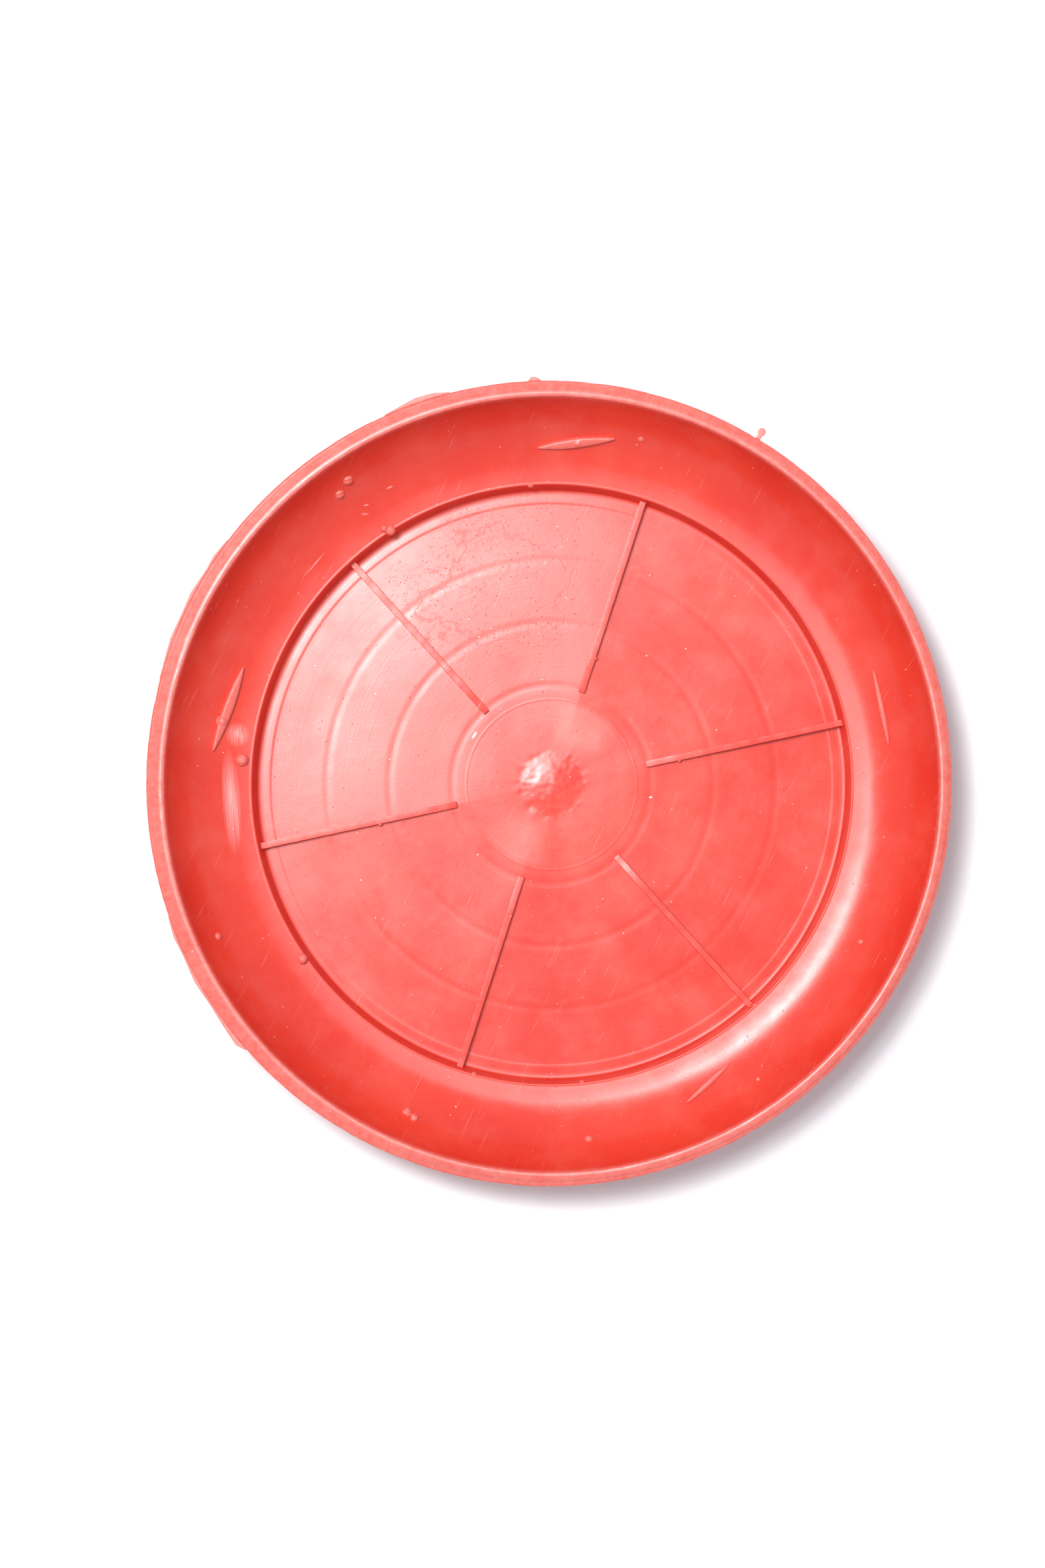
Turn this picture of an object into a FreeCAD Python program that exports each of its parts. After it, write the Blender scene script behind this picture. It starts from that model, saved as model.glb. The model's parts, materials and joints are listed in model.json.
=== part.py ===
"""Round feed pan, injection moulded in one piece, with the moulding excess that it still carries.

Millimetres. +Z is up. The origin is on the resting plane, under the centre of the pan.
+X runs along the first of the six floor ribs. Angles are in degrees, counter-clockwise seen from above.
"""
import FreeCAD, Part
import math
import os

os.makedirs("parts", exist_ok=True)

# Overall size
PAN_RADIUS = 125.0  # outer edge of the parting flange
PAN_HEIGHT = 32.0  # resting plane to the top of the lip
SHELL = 2.0  # moulded wall thickness

# Rim: a crowned lip, and a thin flange below it where the two mould halves part
FLANGE_WIDTH = 2.1  # how far the flange stands out past the lip
FLANGE_DROP = 1.1  # lip top down to flange top
FLANGE_THICKNESS = 1.9
MOULD_SHIFT = 0.9  # the flange's half of the mould sits this far off centre
MOULD_SHIFT_ANGLE = 152.0
LIP_WIDTH = 2.7
LIP_ROUND = 0.6  # radius of the lip's inner edge
LIP_FALL = 0.3  # how far the crowned lip drops to its outer edge

# Coved wall, from the crest land up to the lip
WALL_RUN = 23.2  # radial run of the cove
WALL_FOOT_SLOPE = 6.0  # slope of the cove where it leaves the crest land
CREST_HEIGHT = 10.2  # crest land above the resting plane
CREST_LAND = 1.3  # width of the flat crest land
CREST_DRAFT = 1.9  # how far the crest's inner face leans out from foot to top

# Channel round the floor; its underside is the foot ring
CHANNEL_WIDTH = 2.4
CHANNEL_BEVEL = 0.7  # radial run of the short slope between floor and channel

# Floor
FLOOR_STEP = 0.5  # floor edge above the channel's bottom
FLOOR_CROWN = 1.5  # floor centre above the floor edge
GROOVE_COUNT = 3
GROOVE_INNER_RADIUS = 31.3
GROOVE_WIDTH = 2.6
GROOVE_DEPTH = 0.06
INSERT_LINE_RADIUS = 26.9  # witness line of the round mould insert
INSERT_LINE_WIDTH = 0.6
INSERT_LINE_HEIGHT = 0.06
BOSS_RADIUS = 10.1
BOSS_HEIGHT = 0.6

# Ribs that carry whatever stands in the pan
RIB_COUNT = 6
RIB_WIDTH = 2.0
RIB_HEIGHT = 3.3  # level rib top above the floor's edge
RIB_INNER_RADIUS = 30.5
RIB_RAMP = 10.0  # length of the slope at the rib's inner end
RIB_END_HEIGHT = 1.0  # rib above the floor at its inner end

# Moulding excess
SCAR_DEPTH = 3.0  # how far a scar's outline is carried each way before it is trimmed to the cove
SLOT_WIDTH = 0.5  # slot across the top of a slotted pip
SLOT_DEPTH = 0.8
NUB_RADIUS = 0.55  # small nub of flash on a rib's flank
NUB_DROP = 0.6  # its centre below the rib's top
FLASH_THICKNESS = 0.5
FLASH_ROOT = 1.2  # how far a flash plate reaches back into the flange's rounded edge
TAB_LENGTH = 3.6
TAB_HEAD_RADIUS = 1.15
TAB_NECK_WIDTH = 1.3

# Values that follow from the ones above
UP = FreeCAD.Vector(0, 0, 1)
ORIGIN = FreeCAD.Vector(0, 0, 0)
lip_outer_radius = PAN_RADIUS - FLANGE_WIDTH
lip_inner_radius = lip_outer_radius - LIP_WIDTH
wall_top = PAN_HEIGHT - LIP_ROUND
wall_foot_radius = lip_inner_radius - WALL_RUN
crest_radius = wall_foot_radius - CREST_LAND
channel_outer_radius = crest_radius - CREST_DRAFT
channel_inner_radius = channel_outer_radius - CHANNEL_WIDTH
floor_radius = channel_inner_radius - CHANNEL_BEVEL
channel_level = SHELL
floor_level = channel_level + FLOOR_STEP
rib_level = floor_level + RIB_HEIGHT
flange_top = PAN_HEIGHT - FLANGE_DROP
flange_middle = flange_top - FLANGE_THICKNESS / 2
shift = FreeCAD.Vector(
    MOULD_SHIFT * math.cos(math.radians(MOULD_SHIFT_ANGLE)),
    MOULD_SHIFT * math.sin(math.radians(MOULD_SHIFT_ANGLE)),
    0,
)


def section_point(radius, height):
    """A point of the radial section, drawn in the XZ plane."""
    return FreeCAD.Vector(radius, 0, height)


def line(start, end):
    return Part.LineSegment(start, end).toShape()


def arc(start, middle, end):
    return Part.Arc(start, middle, end).toShape()


def turned(edges, axis_point=ORIGIN, axis=UP):
    """The solid swept by a closed section turned once round an axis."""
    return Part.Face(Part.Wire(edges)).revolve(axis_point, axis, 360)


def polar(radius, angle, height):
    turn = math.radians(angle)
    return FreeCAD.Vector(radius * math.cos(turn), radius * math.sin(turn), height)


def cove_circle():
    """Centre and radius of the cove's arc, which leaves the crest land at the foot slope."""
    slope = math.radians(WALL_FOOT_SLOPE)
    normal = (-math.sin(slope), math.cos(slope))
    run, rise = WALL_RUN, wall_top - CREST_HEIGHT
    radius = (run**2 + rise**2) / (2 * (run * normal[0] + rise * normal[1]))
    centre = (wall_foot_radius + radius * normal[0], CREST_HEIGHT + radius * normal[1])
    return centre, radius


(cove_r, cove_z), cove_radius = cove_circle()


def cove_point(radius_of_arc, slope):
    """Point of an arc about the cove's centre where the surface has the given slope."""
    return section_point(
        cove_r + radius_of_arc * math.sin(slope), cove_z - radius_of_arc * math.cos(slope)
    )


def cove_slope_at_height(radius_of_arc, height):
    return math.acos((cove_z - height) / radius_of_arc)


def wall_at(angle, inset):
    """Point on the coved wall, an inset in from the lip, and the direction straight out of the wall there."""
    radius = lip_inner_radius - inset
    slope = math.asin((radius - cove_r) / cove_radius)
    point = polar(radius, angle, cove_z - cove_radius * math.cos(slope))
    outward = polar(-math.sin(slope), angle, math.cos(slope))
    return point, outward


def dome(rise, radius, edge_radius):
    """Height of a shallow dome at a radius: the full rise on the axis, nothing at its edge."""
    return rise * (1 - (radius / edge_radius) ** 2)


def floor_height(radius):
    """Height of the crowned floor, before its grooves and its boss."""
    return floor_level + dome(FLOOR_CROWN, radius, floor_radius)


def floor_span(start, end):
    """Stretch of the crowned floor between two radii, starting at the outer one."""
    middle = (start + end) / 2
    return arc(
        section_point(start, floor_height(start)),
        section_point(middle, floor_height(middle)),
        section_point(end, floor_height(end)),
    )


def floor_feature(radius, width, rise):
    """A shallow bead or groove in the floor: a short arc that rises or sinks by rise."""
    outer, inner = radius + width / 2, radius - width / 2
    return arc(
        section_point(outer, floor_height(outer)),
        section_point(radius, floor_height(radius) + rise),
        section_point(inner, floor_height(inner)),
    )


def floor_line():
    """The floor's upper surface from its edge to the axis, with grooves, insert line and boss."""
    pitch = (floor_radius - GROOVE_INNER_RADIUS) / GROOVE_COUNT
    features = [
        (GROOVE_INNER_RADIUS + pitch * step, GROOVE_WIDTH, -GROOVE_DEPTH)
        for step in reversed(range(GROOVE_COUNT))
    ]
    features.append((INSERT_LINE_RADIUS, INSERT_LINE_WIDTH, INSERT_LINE_HEIGHT))
    edges = []
    reached = floor_radius
    for radius, width, rise in features:
        edges.append(floor_span(reached, radius + width / 2))
        edges.append(floor_feature(radius, width, rise))
        reached = radius - width / 2
    edges.append(floor_span(reached, BOSS_RADIUS))
    top = floor_height(0) + BOSS_HEIGHT
    shoulder = BOSS_RADIUS / 2
    edges.append(
        arc(
            section_point(BOSS_RADIUS, floor_height(BOSS_RADIUS)),
            section_point(shoulder, floor_height(shoulder) + dome(BOSS_HEIGHT, shoulder, BOSS_RADIUS)),
            section_point(0, top),
        )
    )
    return edges, top


def hollow():
    """The space inside the pan, from its floor, channel and cove up past the lip."""
    clear = 2 * PAN_HEIGHT
    floor_edges, centre_height = floor_line()
    foot = section_point(wall_foot_radius, CREST_HEIGHT)
    brim = section_point(lip_inner_radius, wall_top)
    slope = (math.radians(WALL_FOOT_SLOPE) + cove_slope_at_height(cove_radius, wall_top)) / 2
    corners = [
        brim,
        section_point(lip_inner_radius, clear),
        section_point(0, clear),
        section_point(0, centre_height),
    ]
    edges = [line(a, b) for a, b in zip(corners, corners[1:])]
    edges += reversed(floor_edges)
    corners = [
        section_point(floor_radius, floor_level),
        section_point(channel_inner_radius, channel_level),
        section_point(channel_outer_radius, channel_level),
        section_point(crest_radius, CREST_HEIGHT),
        foot,
    ]
    edges += [line(a, b) for a, b in zip(corners, corners[1:])]
    edges.append(arc(foot, cove_point(cove_radius, slope), brim))
    return turned(Part.__sortEdges__(edges))


def crest_outer_face():
    """Radius of the crest's outer face on the resting plane, one shell outside its inner face."""
    lean = CREST_DRAFT / (CREST_HEIGHT - channel_level)
    sideways = SHELL * math.hypot(1, lean)
    return channel_outer_radius + sideways - channel_level * lean


def outside():
    """The pan's outer shape as a full disc: underside, foot ring, cove and lip, without the flange."""
    slope_start = math.radians(WALL_FOOT_SLOPE)
    under_radius = cove_radius + SHELL
    slope_end = cove_slope_at_height(under_radius, flange_middle)
    under_start = cove_point(under_radius, slope_start)
    under_end = cove_point(under_radius, slope_end)
    lip_peak = section_point(lip_inner_radius + LIP_ROUND, PAN_HEIGHT)
    lip_side = section_point(lip_outer_radius, PAN_HEIGHT - LIP_FALL)
    lip_middle = section_point((lip_peak.x + lip_side.x) / 2, PAN_HEIGHT - LIP_FALL / 4)
    round_off = LIP_ROUND * (1 - math.sqrt(0.5))
    brim = section_point(lip_inner_radius, wall_top)
    under_edge = floor_radius - SHELL
    under_floor = section_point(under_edge, FLOOR_STEP)
    under_middle = section_point(under_edge / 2, FLOOR_STEP + dome(FLOOR_CROWN, under_edge / 2, under_edge))
    foot_inner = section_point(channel_inner_radius - SHELL, 0)
    foot_outer = section_point(crest_outer_face(), 0)
    edges = [
        arc(section_point(0, FLOOR_STEP + FLOOR_CROWN), under_middle, under_floor),
        line(under_floor, foot_inner),
        line(foot_inner, foot_outer),
        line(foot_outer, under_start),
        arc(under_start, cove_point(under_radius, (slope_start + slope_end) / 2), under_end),
        line(under_end, section_point(lip_outer_radius, flange_middle)),
        line(section_point(lip_outer_radius, flange_middle), lip_side),
        arc(lip_side, lip_middle, lip_peak),
        arc(lip_peak, section_point(lip_inner_radius + round_off, PAN_HEIGHT - round_off), brim),
        line(brim, section_point(0, wall_top)),
        line(section_point(0, wall_top), section_point(0, FLOOR_STEP + FLOOR_CROWN)),
    ]
    return turned(edges)


def flange():
    """The parting flange as a round-edged disc, off centre by the mould shift."""
    bottom = flange_top - FLANGE_THICKNESS
    straight = PAN_RADIUS - FLANGE_THICKNESS / 2
    low, high = section_point(straight, bottom), section_point(straight, flange_top)
    edges = [
        line(section_point(0, bottom), low),
        arc(low, section_point(PAN_RADIUS, flange_middle), high),
        line(high, section_point(0, flange_top)),
        line(section_point(0, flange_top), section_point(0, bottom)),
    ]
    disc = turned(edges)
    disc.translate(shift)
    return disc


def rib():
    """A bar along +X, from the resting plane up: level top, ramp at its inner end, outer end in the crest."""
    end = floor_height(RIB_INNER_RADIUS) + RIB_END_HEIGHT
    side = [
        FreeCAD.Vector(RIB_INNER_RADIUS, -RIB_WIDTH / 2, 0),
        FreeCAD.Vector(RIB_INNER_RADIUS, -RIB_WIDTH / 2, end),
        FreeCAD.Vector(RIB_INNER_RADIUS + RIB_RAMP, -RIB_WIDTH / 2, rib_level),
        FreeCAD.Vector(crest_radius, -RIB_WIDTH / 2, rib_level),
        FreeCAD.Vector(crest_radius, -RIB_WIDTH / 2, 0),
    ]
    outline = Part.Face(Part.makePolygon(side + side[:1]))
    return outline.extrude(FreeCAD.Vector(0, RIB_WIDTH, 0))


def ribs(space):
    """The ribs, spread evenly and trimmed to what stands inside the pan, as one shape."""
    first = rib()
    spread = []
    for number in range(RIB_COUNT):
        copy = first.copy()
        copy.rotate(ORIGIN, UP, number * 360 / RIB_COUNT)
        spread.append(copy)
    return spread[0].multiFuse(spread[1:]).common(space)


def ball(centre, radius, axis=UP):
    return Part.makeSphere(radius, centre, axis)


def wall_pip(space, angle, inset, radius, rise):
    """A low round pip on the cove that stands out of it by rise."""
    point, outward = wall_at(angle, inset)
    return ball(point - outward * (radius - rise), radius, outward).common(space)


def slotted_pip(space, angle, inset, radius, rise):
    """A pip with a slot across its top, as a driver would fit."""
    point, outward = wall_at(angle, inset)
    along = outward.cross(UP).normalize()
    cutter = Part.makeBox(4 * radius, SLOT_WIDTH, 2 * SLOT_DEPTH)
    cutter.translate(FreeCAD.Vector(-2 * radius, -SLOT_WIDTH / 2, -SLOT_DEPTH))
    turn = FreeCAD.Placement(ORIGIN, FreeCAD.Rotation(along, outward.cross(along), outward, "ZXY"))
    cutter.Placement = FreeCAD.Placement(point + outward * rise, FreeCAD.Rotation()).multiply(turn)
    return wall_pip(space, angle, inset, radius, rise).cut(cutter)


def crest_pip(space, angle, offset, lift, radius):
    """A pip by the crest: offset in from the crest's inner edge, lift above the crest land."""
    return ball(polar(crest_radius - offset, angle, CREST_HEIGHT + lift), radius).common(space)


def cove_skin(thickness):
    """A layer of the given thickness lying on the cove."""
    low, high = math.radians(WALL_FOOT_SLOPE), cove_slope_at_height(cove_radius, wall_top)
    middle = (low + high) / 2
    raised = cove_radius - thickness
    edges = [
        arc(cove_point(cove_radius, low), cove_point(cove_radius, middle), cove_point(cove_radius, high)),
        line(cove_point(cove_radius, high), cove_point(raised, high)),
        arc(cove_point(raised, high), cove_point(raised, middle), cove_point(raised, low)),
        line(cove_point(raised, low), cove_point(cove_radius, low)),
    ]
    return turned(edges)


def wall_scar(space, start, end, width, rise, knobs):
    """A long scar with pointed ends between two places on the cove, with round knobs on it."""
    first, second = wall_at(*start)[0], wall_at(*end)[0]
    outward = wall_at((start[0] + end[0]) / 2, (start[1] + end[1]) / 2)[1]
    middle = (first + second) / 2
    sideways = (second - first).cross(outward).normalize() * (width / 2)
    outline = Part.Wire([arc(first, middle + sideways, second), arc(second, middle - sideways, first)])
    blade = Part.Face(outline)
    blade.translate(outward * -SCAR_DEPTH)
    shape = blade.extrude(outward * (2 * SCAR_DEPTH)).common(cove_skin(rise))
    for angle, inset, radius, knob_rise in knobs:
        shape = shape.fuse(wall_pip(space, angle, inset, radius, knob_rise))
    return shape


def flange_reach(angle):
    """Distance from the pan's axis to the edge of the shifted flange."""
    turn = math.radians(angle - MOULD_SHIFT_ANGLE)
    return MOULD_SHIFT * math.cos(turn) + math.sqrt(PAN_RADIUS**2 - (MOULD_SHIFT * math.sin(turn)) ** 2)


def flash_plate(body, profile):
    """Thin ragged flash outside the flange: profile lists each angle with how far the flash stands out."""
    low = flange_middle - FLASH_THICKNESS / 2
    outer = [polar(flange_reach(angle) + stand_out, angle, low) for angle, stand_out in profile]
    inner = [polar(flange_reach(angle) - FLASH_ROOT, angle, low) for angle, _ in reversed(profile)]
    loop = outer + inner
    plate = Part.Face(Part.makePolygon(loop + loop[:1])).extrude(UP * FLASH_THICKNESS)
    return plate.cut(body)


def flash_tab(body, angle):
    """A drop-shaped tab of flash: a narrow neck and a round head, standing straight out."""
    low = flange_middle - FLASH_THICKNESS / 2
    root = flange_reach(angle) - FLASH_ROOT
    tip = flange_reach(angle) + TAB_LENGTH - TAB_HEAD_RADIUS
    neck = Part.makeBox(tip - root, TAB_NECK_WIDTH, FLASH_THICKNESS)
    neck.translate(FreeCAD.Vector(root, -TAB_NECK_WIDTH / 2, low))
    head = Part.makeCylinder(TAB_HEAD_RADIUS, FLASH_THICKNESS, FreeCAD.Vector(tip, 0, low))
    tab = neck.fuse(head)
    tab.rotate(ORIGIN, UP, angle)
    return tab.cut(body)


def save(name, shape):
    """Write one node, as its separate solids."""
    Part.makeCompound(shape.Solids).exportStep("parts/" + name + ".step")
    print(name, len(shape.Solids), "solid(s)", round(shape.Volume, 2), "mm3, valid", shape.isValid())


space = hollow()
rib_set = ribs(space)
pan = outside().fuse(flange()).cut(space).fuse(rib_set).removeSplitter()
save("pan", pan)

# Scars on the cove: ends as (angle, inset from the lip), width, rise, knobs as (angle, inset, radius, rise)
save("wall_scar_top", wall_scar(space, (80.4, 14.3), (67.6, 9.9), 2.6, 0.9, [(73.6, 12.6, 1.7, 1.3)]))
save("wall_scar_left", wall_scar(space, (147.2, 16.5), (162.4, 13.2), 2.6, 0.9, [(157.2, 14.7, 1.8, 1.4)]))
save("wall_scar_right", wall_scar(space, (7.6, 13.0), (-5.4, 13.6), 1.6, 0.4, []))
save("wall_scar_bottom", wall_scar(space, (281.0, 11.7), (290.5, 16.2), 1.6, 0.4, []))

# Small pips on the cove
small_pips = [
    (63.5, 8.7, 1.2, 0.5),
    (192.5, 5.7, 1.3, 0.8),
    (264.0, 8.7, 1.4, 0.9),
    (293.0, 7.7, 1.0, 0.5),
    (321.0, 11.6, 1.3, 0.4),
]
save("wall_pips", Part.makeCompound([wall_pip(space, *pip) for pip in small_pips]))

# The pair of slotted pips, and the torn pip made of two lumps
slotted = [slotted_pip(space, 111.8, 5.9, 1.9, 1.2), slotted_pip(space, 114.2, 7.9, 1.8, 1.1)]
save("slotted_pips", Part.makeCompound(slotted))
torn = wall_pip(space, 235.6, 7.4, 1.3, 1.2).fuse(wall_pip(space, 234.2, 8.2, 1.6, 0.9))
save("torn_pip", torn)

# Pips and knobs by the crest: (angle, offset in, lift, radius)
crest_pips = [
    (82.0, 1.2, -1.2, 1.0),
    (203.0, 0.2, 0.6, 1.5),
    (243.0, 1.1, -1.2, 0.9),
    (263.8, 1.2, -1.3, 0.9),
    (300.6, 1.0, -1.0, 0.8),
]
save("crest_pips", Part.makeCompound([crest_pip(space, *pip) for pip in crest_pips]))
twin = crest_pip(space, 111.2, -0.4, 0.5, 1.1).fuse(crest_pip(space, 110.4, 1.1, -0.4, 1.6))
save("crest_twin_knob", twin)
save("crest_round_knob", crest_pip(space, 163.5, -1.9, 0.0, 2.0))

# Nubs of flash on the ribs' flanks: (rib number, distance in from the crest, side)
rib_nubs = [(0, 54.7, -1), (1, 53.7, -1), (3, 40.2, 1)]
nubs = []
for number, distance, side in rib_nubs:
    centre = FreeCAD.Vector(crest_radius - distance, side * RIB_WIDTH / 2, rib_level - NUB_DROP)
    nub = ball(centre, NUB_RADIUS)
    nub.rotate(ORIGIN, UP, number * 360 / RIB_COUNT)
    nubs.append(nub.cut(rib_set))
save("rib_nubs", Part.makeCompound(nubs))

# Flash along the rim's parting line: (angle, how far it stands out)
save("flash_tab", flash_tab(pan, 47.2))
save("flash_nib", flash_plate(pan, [(79.6, 0.2), (80.2, 1.0), (80.9, 1.2), (81.3, 0.2)]))
save("flash_leaf", flash_plate(pan, [(92.6, 0.15), (95.0, 1.3), (97.5, 1.5), (99.6, 0.8), (102.4, 0.15)]))
left = [(131, 0.15), (134, 0.7), (136, 0.3), (140, 0.9), (143, 0.5), (147, 0.8), (150, 0.3), (153, 0.15)]
save("flash_left", flash_plate(pan, left))
lower = [(187, 0.15), (190, 0.8), (193, 0.4), (197, 1.0), (201, 0.5), (204, 0.9), (207.5, 1.5), (209, 0.15)]
save("flash_lower_left", flash_plate(pan, lower))
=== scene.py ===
"""Looks of a round feed pan moulded in red polypropylene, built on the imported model.

Metres, in the model's own frame: +Z up, the pan resting on z = 0, +X along the first floor rib.
"""
import json
import math

import bpy
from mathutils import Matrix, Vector, noise

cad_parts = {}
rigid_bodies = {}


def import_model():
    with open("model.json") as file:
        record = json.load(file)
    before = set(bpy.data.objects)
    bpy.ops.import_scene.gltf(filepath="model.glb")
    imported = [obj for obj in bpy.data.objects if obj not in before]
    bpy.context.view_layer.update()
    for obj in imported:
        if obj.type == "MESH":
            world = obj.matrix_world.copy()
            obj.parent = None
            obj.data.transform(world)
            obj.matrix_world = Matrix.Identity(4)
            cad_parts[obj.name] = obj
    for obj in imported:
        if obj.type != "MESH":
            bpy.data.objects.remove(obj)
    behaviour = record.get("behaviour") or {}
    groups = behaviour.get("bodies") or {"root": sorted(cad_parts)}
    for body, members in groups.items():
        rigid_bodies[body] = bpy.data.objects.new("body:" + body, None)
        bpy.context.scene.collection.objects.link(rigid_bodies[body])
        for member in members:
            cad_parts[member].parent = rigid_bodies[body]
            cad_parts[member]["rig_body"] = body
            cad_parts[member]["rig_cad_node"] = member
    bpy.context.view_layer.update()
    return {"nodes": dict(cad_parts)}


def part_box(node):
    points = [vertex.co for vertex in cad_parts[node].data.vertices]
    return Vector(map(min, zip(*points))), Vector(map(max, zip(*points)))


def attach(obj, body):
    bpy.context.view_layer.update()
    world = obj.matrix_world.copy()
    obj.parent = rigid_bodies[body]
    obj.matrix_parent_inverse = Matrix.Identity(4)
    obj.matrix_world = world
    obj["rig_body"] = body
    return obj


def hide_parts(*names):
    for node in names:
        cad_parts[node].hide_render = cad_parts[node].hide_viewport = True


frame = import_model()
pan_low, pan_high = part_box("pan")
mm = 0.001

# The camera hangs straight over the pan, a little to one side of its axis, and is turned twelve degrees,
# so that the first rib points to the right and a little up.
camera_data = bpy.data.cameras.new("camera")
camera_data.sensor_width = 36
camera_data.lens = 111.2
camera = bpy.data.objects.new("camera", camera_data)
camera.location = (-8.9 * mm, 2.0 * mm, pan_high.z + 1.5)
camera.rotation_euler = (0, 0, math.radians(-12))
bpy.context.scene.collection.objects.link(camera)
bpy.context.scene.camera = camera
bpy.context.scene.view_settings.view_transform = "Standard"

# Studio light: a white surround, faintly cool, a broad soft panel just off the vertical that draws the sheen
# on the floor, and the key panel further down the same side that throws the shadows.
key_azimuth = 125


def colour(code):
    """Linear colour of an sRGB hex code."""
    parts = [int(code[i : i + 2], 16) / 255 for i in (0, 2, 4)]
    return [p / 12.92 if p <= 0.04045 else ((p + 0.055) / 1.055) ** 2.4 for p in parts] + [1.0]


def node(tree, kind, settings, inputs):
    """Adds a node with its settings. An input given as a socket is linked, and anything else is set."""
    made = tree.nodes.new("ShaderNode" + kind)
    for name, value in settings.items():
        setattr(made, name, value)
    for name, value in inputs.items():
        if isinstance(value, bpy.types.NodeSocket):
            tree.links.new(value, made.inputs[name])
        else:
            made.inputs[name].default_value = value
    return made


def panel(name, tilt, azimuth, distance, size, power):
    """A square light panel that faces the pan from a tilt off the vertical."""
    light = bpy.data.lights.new(name, "AREA")
    light.shape = "RECTANGLE"
    light.size, light.size_y = size
    light.energy = power
    lamp = bpy.data.objects.new(name, light)
    lean, turn = math.radians(tilt), math.radians(azimuth)
    direction = Vector((math.sin(lean) * math.cos(turn), math.sin(lean) * math.sin(turn), math.cos(lean)))
    lamp.location = direction * distance
    lamp.rotation_euler = (0, lean, turn)
    bpy.context.scene.collection.objects.link(lamp)


panel("key", tilt=21, azimuth=key_azimuth, distance=2.2, size=(0.44, 0.46), power=26)
panel("sheen", tilt=12.5, azimuth=key_azimuth, distance=2.2, size=(0.40, 0.55), power=20)
world = bpy.data.worlds.new("surround")
world.use_nodes = True
world.node_tree.nodes["Background"].inputs["Color"].default_value = colour("E4F6FF")
world.node_tree.nodes["Background"].inputs["Strength"].default_value = 0.62
bpy.context.scene.world = world

# A pale matt sheet lies under the pan.
bpy.ops.object.select_all(action="DESELECT")
bpy.ops.mesh.primitive_plane_add(size=30, location=(0, 0, 0))
sheet = bpy.context.object
sheet.name = "pale_sheet"
paper = bpy.data.materials.new("matt_white_sheet")
paper.use_nodes = True
paper_shader = paper.node_tree.nodes["Principled BSDF"]
paper_shader.inputs["Base Color"].default_value = colour("F6F6F6")
paper_shader.inputs["Roughness"].default_value = 0.9
paper_shader.inputs["Specular IOR Level"].default_value = 0.1
sheet.data.materials.append(paper)

# The pan itself: one injection moulding in red polypropylene. Its section is drawn from the axis out over
# the floor, channel, crest and cove to the lip, round the flange and back underneath, then spun.
pan_radius = (pan_high.x - pan_low.x) / 2
mould_shift = (pan_low + pan_high) / 2
shell = 2.0 * mm
lip_outer = pan_radius - 2.1 * mm
lip_inner = lip_outer - 2.7 * mm
lip_round = 0.6 * mm
flange_top = pan_high.z - 0.9 * mm
flange_bottom = pan_high.z - 3.0 * mm
wall_foot = lip_inner - 23.2 * mm
wall_top = pan_high.z - lip_round
foot_slope = math.radians(6)
crest_height = 10.2 * mm
crest_radius = wall_foot - 1.3 * mm
channel_outer = crest_radius - 1.9 * mm
channel_inner = channel_outer - 2.4 * mm
channel_level = shell
floor_radius = channel_inner - 0.7 * mm
floor_step = 0.5 * mm
floor_level = channel_level + floor_step
crown = 1.5 * mm
spin_steps = 448


def floor_height(radius):
    """Height of the crowned floor at a radius, before its grooves, beads and boss."""
    return floor_level + crown * (1 - (radius / floor_radius) ** 2)


# (radius, width, rise) in millimetres of what is turned into the floor: three soft grooves sink, and the
# witness line of the round mould insert rises
floor_rings = [(31.3, 3.6, -0.04), (51.1, 3.6, -0.04), (70.9, 3.6, -0.04), (26.9, 0.9, 0.012)]
boss_radius = 10.1 * mm
boss_height = 0.5 * mm
plain_floor = floor_radius - 2.6 * mm


def floor_profile():
    """Points (radius, height) from the axis to the floor's edge."""
    radii = {step * 2.6 for step in range(1, 34)} | {step * 0.45 for step in range(26)}
    for radius, width, _ in floor_rings:
        radii = {r for r in radii if abs(r - radius) > width * 0.6}
        radii |= {radius + width * share / 6 for share in range(-4, 5)}
    points = []
    for radius in sorted(r for r in radii if r * mm < plain_floor):
        height = floor_height(radius * mm)
        for ring, width, rise in floor_rings:
            near = max(0, 1 - abs(radius - ring) / (width / 2))
            height += rise * mm * math.sin(near * math.pi / 2) ** 2
        height += boss_height * max(0, 1 - (radius * mm / boss_radius) ** 2) ** 1.5
        points.append((radius * mm, height))
    return points


def softened(corners, steps=3):
    """Points along a line of corners (radius, height, softening), each corner rounded by its softening."""
    points = []
    for before, corner, after in zip(corners, corners[1:], corners[2:]):
        here = Vector(corner[:2])
        start = here + (Vector(before[:2]) - here).normalized() * corner[2]
        end = here + (Vector(after[:2]) - here).normalized() * corner[2]
        for step in range(steps + 1):
            share = step / steps
            spot = start * (1 - share) ** 2 + here * 2 * share * (1 - share) + end * share**2
            points.append((spot.x, spot.y))
    return points


run, rise = lip_inner - wall_foot, wall_top - crest_height
cove_radius = (run**2 + rise**2) / (2 * (rise * math.cos(foot_slope) - run * math.sin(foot_slope)))
cove_x = wall_foot - cove_radius * math.sin(foot_slope)
cove_z = crest_height + cove_radius * math.cos(foot_slope)


def cove(radius, start, end, steps):
    """Points along the cove's arc between two slopes."""
    slopes = [start + (end - start) * step / steps for step in range(steps + 1)]
    return [(cove_x + radius * math.sin(s), cove_z - radius * math.cos(s)) for s in slopes]


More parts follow.
